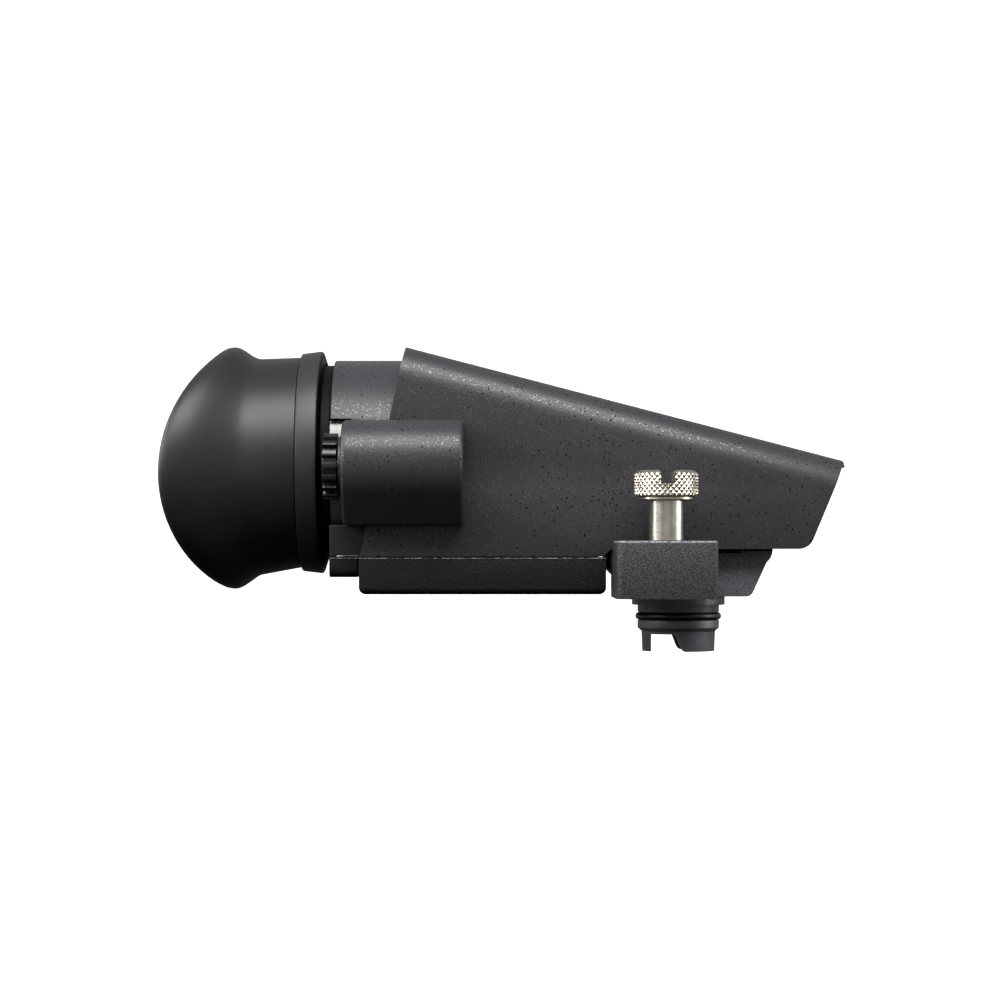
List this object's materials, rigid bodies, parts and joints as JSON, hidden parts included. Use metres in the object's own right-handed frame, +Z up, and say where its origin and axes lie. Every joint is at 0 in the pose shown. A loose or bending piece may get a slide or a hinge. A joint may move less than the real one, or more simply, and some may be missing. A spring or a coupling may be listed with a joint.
{
  "type": "electronic viewfinder",
  "caption": "Camera viewfinder with a flared rubber eyecup, dioptre dial and wedge-shaped housing that tilts on a foot with a thumb screw and a sealed round plug.",
  "frame": {"origin": "on the camera seat, the underside of the foot, on the plug's axis seen from the side and on the optical centre plane", "axes": "+X forward, away from the eye, along the optical axis; +Z up from the camera; -Y is the side with the dioptre dial and the thumb screw"},
  "size_m": [0.1362, 0.0686, 0.0625],
  "materials": {
    "housing_paint": "fine matt charcoal paint over moulded plastic",
    "grained_cover": "moulded plastic with a coarse leather grain",
    "grained_casting": "cast aluminium with a coarse textured black paint",
    "barrel_aluminium": "bead-blasted aluminium, clear anodised",
    "smooth_plastic": "smooth black moulded plastic",
    "ring_plastic": "matt black moulded plastic",
    "cup_rubber": "matt black moulded rubber",
    "seal_rubber": "oiled black rubber",
    "nickel_plate": "nickel plate over turned and knurled metal",
    "screw_steel": "turned steel",
    "bearing_brass": "turned brass",
    "contact_gold": "gold-plated brass",
    "lens_glass": "coated glass",
    "display_glass": "dark display glass",
    "circuit_board": "green solder mask on glass-fibre board",
    "flex_film": "amber polyimide film"
  },
  "bodies": {
    "mount_base": {"mount_foot": "grained_casting", "foot_cover": "ring_plastic", "screw_block": "grained_casting", "plug_shell": "ring_plastic", "contact_carrier": "smooth_plastic", "plug_seal_ring": "seal_rubber", "terminal_board": "circuit_board", "retaining_plate": "screw_steel", "screw_grip_ring": "seal_rubber", "hinge_shaft": "screw_steel", "contact_pin_1": "contact_gold", "contact_pin_2": "contact_gold", "contact_pin_3": "contact_gold", "contact_pin_4": "contact_gold", "contact_pin_5": "contact_gold", "contact_pin_6": "contact_gold", "foot_cover_screw_1": "screw_steel", "foot_cover_screw_2": "screw_steel", "foot_cover_screw_3": "screw_steel", "foot_cover_screw_4": "screw_steel", "plug_screw_1": "screw_steel", "plug_screw_2": "screw_steel", "block_screw_1": "screw_steel", "block_screw_2": "screw_steel"},
    "screw_slider": {"screw_retaining_ring": "screw_steel"},
    "thumb_screw": {"thumb_screw": "nickel_plate"},
    "viewfinder": {"main_housing": "housing_paint", "base_cover": "grained_cover", "tilt_chassis": "grained_casting", "front_panel": "housing_paint", "display_holder": "smooth_plastic", "display_panel": "display_glass", "display_flex": "flex_film", "main_board": "circuit_board", "eyepiece_frame": "housing_paint", "eyepiece_chin": "grained_cover", "lens_tube": "barrel_aluminium", "eyepiece_window": "lens_glass", "window_ring": "smooth_plastic", "dioptre_cover": "housing_paint", "dial_bush": "bearing_brass", "hinge_washer_right": "screw_steel", "hinge_washer_left": "screw_steel", "base_cover_screw_1": "screw_steel", "base_cover_screw_2": "screw_steel", "base_cover_screw_3": "screw_steel", "base_cover_screw_4": "screw_steel", "chassis_screw_1": "screw_steel", "chassis_screw_2": "screw_steel", "board_screw_1": "screw_steel", "board_screw_2": "screw_steel"},
    "dioptre_dial": {"dioptre_dial": "smooth_plastic", "lead_screw": "screw_steel"},
    "lens_carriage": {"lens_carriage": "smooth_plastic", "eye_lens": "lens_glass", "field_lens": "lens_glass", "lens_ring": "smooth_plastic"},
    "eyecup": {"eyecup_ring": "ring_plastic", "eyecup": "cup_rubber"}
  },
  "joints": [
    {"name": "viewfinder_tilt", "type": "hinge", "parent": "mount_base", "child": "viewfinder", "pos_m": [0.0152, 0, 0.00935], "axis": [0, 1, 0], "range_deg": [0, 60]},
    {"name": "screw_slide", "type": "slide", "parent": "mount_base", "child": "screw_slider", "axis": [0, 0, 1], "range_m": [-0.0074, 0]},
    {"name": "screw_spin", "type": "hinge", "parent": "screw_slider", "child": "thumb_screw", "pos_m": [-0.004, -0.0335, 0.01], "axis": [0, 0, 1], "continuous": true},
    {"name": "dial_turn", "type": "hinge", "parent": "viewfinder", "child": "dioptre_dial", "pos_m": [-0.069, -0.027, 0.0258], "axis": [1, 0, 0], "range_deg": [-300, 300]},
    {"name": "carriage_slide", "type": "slide", "parent": "viewfinder", "child": "lens_carriage", "axis": [1, 0, 0], "range_m": [-0.0025, 0.0025]},
    {"name": "eyecup_turn", "type": "hinge", "parent": "viewfinder", "child": "eyecup", "pos_m": [-0.075, 0, 0.0275], "axis": [1, 0, 0], "range_deg": [0, 180]}
  ],
  "couplings": [
    {"joint": "dial_turn", "follows": "carriage_slide", "rad_per_m": 2094.4}
  ]
}
